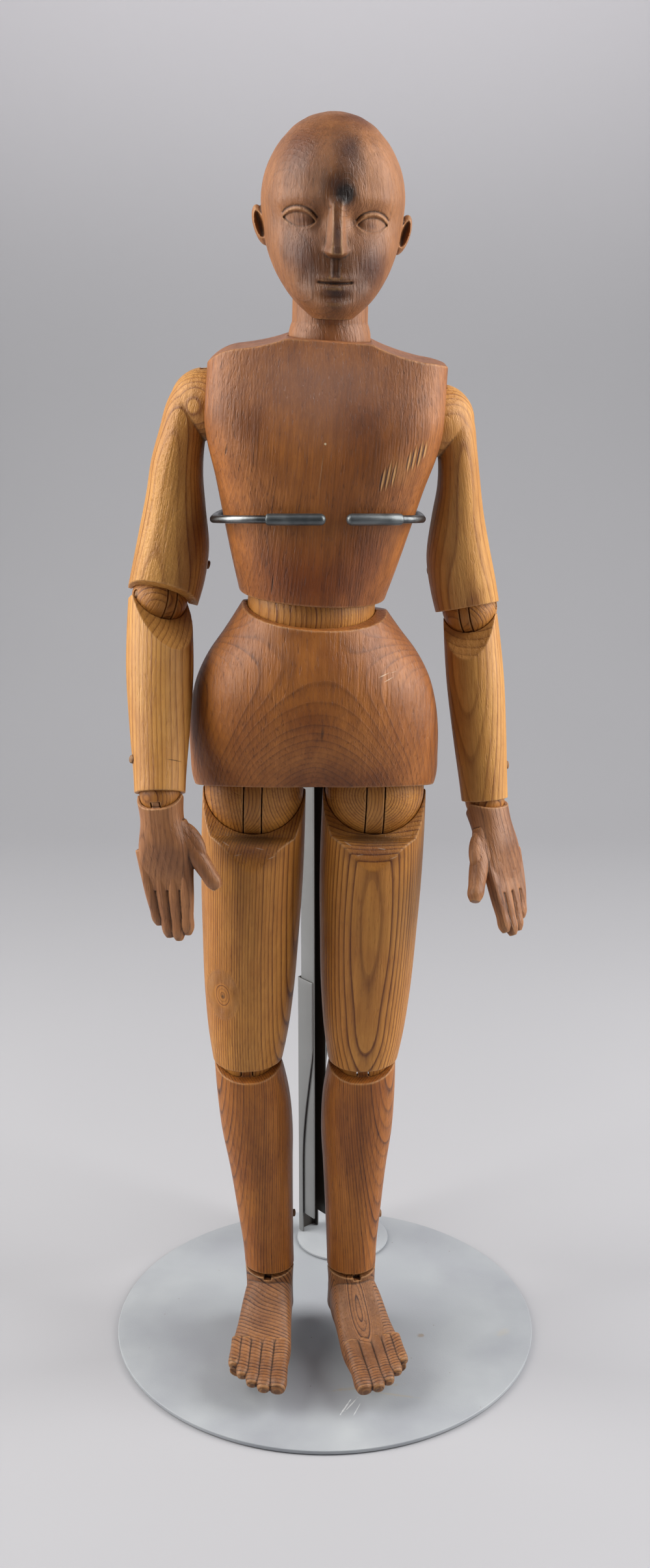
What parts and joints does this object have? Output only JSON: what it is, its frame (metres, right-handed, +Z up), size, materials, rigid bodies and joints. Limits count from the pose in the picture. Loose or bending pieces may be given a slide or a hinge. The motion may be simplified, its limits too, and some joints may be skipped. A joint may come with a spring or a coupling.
{
  "type": "wooden artist mannequin",
  "caption": "Carved wooden lay figure with slotted ball joints at neck, shoulders, elbows, wrists, waist, hips, knees and ankles, held upright by a sprung clip on a sliding post and round plate.",
  "frame": {"origin": "centre of the base plate's underside", "axes": "+Z up along the post, -Y the way the figure faces, +X to the figure's left"},
  "size_m": [0.305, 0.305, 0.8422],
  "materials": {
    "dark_wood": "stained and waxed, satin",
    "honey_wood": "oiled, satin",
    "brown_wood": "oiled, satin",
    "red_wood": "handled, satin",
    "pale_wood": "bare, dull",
    "peg_wood": "bare end grain, dull",
    "plate_paint": "matt grey paint",
    "post_paint": "light grey paint, satin",
    "clip_steel": "dark spring steel, satin",
    "clip_sleeve": "grey sleeving, satin"
  },
  "bodies": {
    "stand": {"base_plate": "plate_paint", "post_flange": "plate_paint", "post_sleeve": "post_paint"},
    "torso": {"upper_post": "post_paint", "torso_clip": "clip_steel", "clip_tip_right": "clip_sleeve", "clip_tip_left": "clip_sleeve", "torso": "dark_wood"},
    "neck": {"neck_stub": "pale_wood"},
    "head": {"head": "dark_wood", "neck_pin": "peg_wood"},
    "waist": {"waist_ball": "pale_wood", "waist_pin": "peg_wood"},
    "pelvis": {"pelvis": "dark_wood"},
    "right_shoulder": {"right_shoulder_stub": "pale_wood"},
    "right_upper_arm": {"right_upper_arm": "honey_wood", "right_shoulder_pin": "peg_wood", "right_elbow_peg": "peg_wood"},
    "right_elbow": {"right_elbow_ball": "pale_wood", "right_elbow_pin": "peg_wood"},
    "right_forearm": {"right_forearm": "honey_wood", "right_elbow_tongue": "pale_wood", "right_wrist_peg": "peg_wood"},
    "right_wrist": {"right_wrist_ball": "pale_wood"},
    "right_hand": {"right_hand": "red_wood"},
    "right_hip": {"right_hip_ball": "honey_wood", "right_hip_pin": "peg_wood"},
    "right_thigh": {"right_thigh": "honey_wood", "right_hip_tongue": "pale_wood", "right_knee_peg": "peg_wood"},
    "right_knee": {"right_knee_ball": "pale_wood", "right_knee_pin": "peg_wood"},
    "right_shin": {"right_shin": "brown_wood", "right_ankle_peg": "peg_wood"},
    "right_ankle": {"right_ankle_ball": "pale_wood"},
    "right_foot": {"right_foot": "red_wood"},
    "left_shoulder": {"left_shoulder_stub": "pale_wood"},
    "left_upper_arm": {"left_upper_arm": "honey_wood", "left_shoulder_pin": "peg_wood", "left_elbow_peg": "peg_wood"},
    "left_elbow": {"left_elbow_ball": "pale_wood", "left_elbow_pin": "peg_wood"},
    "left_forearm": {"left_forearm": "honey_wood", "left_elbow_tongue": "pale_wood", "left_wrist_peg": "peg_wood"},
    "left_wrist": {"left_wrist_ball": "pale_wood"},
    "left_hand": {"left_hand": "red_wood"},
    "left_hip": {"left_hip_ball": "honey_wood", "left_hip_pin": "peg_wood"},
    "left_thigh": {"left_thigh": "honey_wood", "left_hip_tongue": "pale_wood", "left_knee_peg": "peg_wood"},
    "left_knee": {"left_knee_ball": "pale_wood", "left_knee_pin": "peg_wood"},
    "left_shin": {"left_shin": "brown_wood", "left_ankle_peg": "peg_wood"},
    "left_ankle": {"left_ankle_ball": "pale_wood"},
    "left_foot": {"left_foot": "red_wood"}
  },
  "joints": [
    {"name": "post_slide", "type": "slide", "parent": "stand", "child": "torso", "axis": [0, 0, 1], "range_m": [0, 0.08]},
    {"name": "waist_twist", "type": "hinge", "parent": "torso", "child": "waist", "pos_m": [-0.0088, -0.023, 0.5455], "axis": [0.0698, 0, 0.9976], "range_deg": [-60, 60]},
    {"name": "waist_bend", "type": "hinge", "parent": "waist", "child": "pelvis", "pos_m": [-0.0088, -0.023, 0.5455], "axis": [0.9976, 0, -0.0698], "range_deg": [-6, 8]},
    {"name": "neck_turn", "type": "hinge", "parent": "torso", "child": "neck", "pos_m": [0.00271, -0.019, 0.7101], "axis": [0.0279, 0, 0.9996], "range_deg": [-60, 60]},
    {"name": "neck_nod", "type": "hinge", "parent": "neck", "child": "head", "pos_m": [0.00271, -0.019, 0.7101], "axis": [0.9982, 0.0523, -0.0279], "range_deg": [-18, 18]},
    {"name": "right_shoulder_swing", "type": "hinge", "parent": "torso", "child": "right_shoulder", "pos_m": [-0.07421, -0.017, 0.67087], "axis": [-0.9976, 0, 0.0698], "range_deg": [-2, 100]},
    {"name": "right_shoulder_raise", "type": "hinge", "parent": "right_shoulder", "child": "right_upper_arm", "pos_m": [-0.07421, -0.017, 0.67087], "axis": [0, 1, 0], "range_deg": [0, 75]},
    {"name": "right_elbow_twist", "type": "hinge", "parent": "right_upper_arm", "child": "right_elbow", "pos_m": [-0.10631, -0.017, 0.54851], "axis": [0.2538, 0, 0.9673], "range_deg": [-80, 3]},
    {"name": "right_elbow_bend", "type": "hinge", "parent": "right_elbow", "child": "right_forearm", "pos_m": [-0.10631, -0.017, 0.54851], "axis": [-0.8334, -0.5075, 0.2186], "range_deg": [-28, 28]},
    {"name": "right_wrist_twist", "type": "hinge", "parent": "right_forearm", "child": "right_wrist", "pos_m": [-0.10488, -0.06942, 0.43229], "axis": [-0.0112, 0.4111, 0.9115], "range_deg": [-90, 90]},
    {"name": "right_wrist_bend", "type": "hinge", "parent": "right_wrist", "child": "right_hand", "pos_m": [-0.10488, -0.06942, 0.43229], "axis": [-0.9764, 0.1921, -0.0987], "range_deg": [-8, 42]},
    {"name": "right_hip_twist", "type": "hinge", "parent": "pelvis", "child": "right_hip", "pos_m": [-0.0467, -0.023, 0.4225], "axis": [0.0349, 0, 0.9994], "range_deg": [-45, 28]},
    {"name": "right_hip_bend", "type": "hinge", "parent": "right_hip", "child": "right_thigh", "pos_m": [-0.0467, -0.023, 0.4225], "axis": [-0.9994, 0, 0.0349], "range_deg": [-9, 20]},
    {"name": "right_knee_twist", "type": "hinge", "parent": "right_thigh", "child": "right_knee", "pos_m": [-0.05354, -0.023, 0.22662], "axis": [0.0209, 0, -0.9998], "range_deg": [-20, 20]},
    {"name": "right_knee_bend", "type": "hinge", "parent": "right_knee", "child": "right_shin", "pos_m": [-0.05354, -0.023, 0.22662], "axis": [0.9998, 0, 0.0209], "range_deg": [0, 58]},
    {"name": "right_ankle_twist", "type": "hinge", "parent": "right_shin", "child": "right_ankle", "pos_m": [-0.03975, -0.023, 0.06487], "axis": [0, 0, -1], "range_deg": [-25, 25]},
    {"name": "right_ankle_bend", "type": "hinge", "parent": "right_ankle", "child": "right_foot", "pos_m": [-0.03975, -0.023, 0.06487], "axis": [0.9976, -0.0698, 0], "range_deg": [-5, 6]},
    {"name": "left_shoulder_swing", "type": "hinge", "parent": "torso", "child": "left_shoulder", "pos_m": [0.07093, -0.017, 0.66072], "axis": [-0.9976, 0, 0.0698], "range_deg": [-40, 100]},
    {"name": "left_shoulder_raise", "type": "hinge", "parent": "left_shoulder", "child": "left_upper_arm", "pos_m": [0.07093, -0.017, 0.66072], "axis": [-0.0109, -0.9877, -0.156], "range_deg": [0, 75]},
    {"name": "left_elbow_twist", "type": "hinge", "parent": "left_upper_arm", "child": "left_elbow", "pos_m": [0.09474, 0.00213, 0.53796], "axis": [-0.1882, -0.1512, 0.9704], "range_deg": [-20, 80]},
    {"name": "left_elbow_bend", "type": "hinge", "parent": "left_elbow", "child": "left_forearm", "pos_m": [0.09474, 0.00213, 0.53796], "axis": [-0.9503, 0.2777, -0.141], "range_deg": [-21, 35]},
    {"name": "left_wrist_twist", "type": "hinge", "parent": "left_forearm", "child": "left_wrist", "pos_m": [0.1058, -0.02321, 0.4135], "axis": [-0.0868, 0.1988, 0.9762], "range_deg": [-90, 90]},
    {"name": "left_wrist_bend", "type": "hinge", "parent": "left_wrist", "child": "left_hand", "pos_m": [0.1058, -0.02321, 0.4135], "axis": [-0.7102, -0.6995, 0.0793], "range_deg": [-40, 12]},
    {"name": "left_hip_twist", "type": "hinge", "parent": "pelvis", "child": "left_hip", "pos_m": [0.0327, -0.023, 0.4225], "axis": [0.0349, 0, 0.9994], "range_deg": [-28, 45]},
    {"name": "left_hip_bend", "type": "hinge", "parent": "left_hip", "child": "left_thigh", "pos_m": [0.0327, -0.023, 0.4225], "axis": [-0.9994, 0, 0.0349], "range_deg": [-9, 48]},
    {"name": "left_knee_twist", "type": "hinge", "parent": "left_thigh", "child": "left_knee", "pos_m": [0.02586, -0.023, 0.22662], "axis": [0.0209, 0, -0.9998], "range_deg": [-20, 20]},
    {"name": "left_knee_bend", "type": "hinge", "parent": "left_knee", "child": "left_shin", "pos_m": [0.02586, -0.023, 0.22662], "axis": [0.9998, 0, 0.0209], "range_deg": [0, 34]},
    {"name": "left_ankle_twist", "type": "hinge", "parent": "left_shin", "child": "left_ankle", "pos_m": [0.01885, -0.023, 0.06444], "axis": [0, 0, -1], "range_deg": [-25, 25]},
    {"name": "left_ankle_bend", "type": "hinge", "parent": "left_ankle", "child": "left_foot", "pos_m": [0.01885, -0.023, 0.06444], "axis": [0.9703, 0.2419, 0], "range_deg": [-5, 6]}
  ]
}
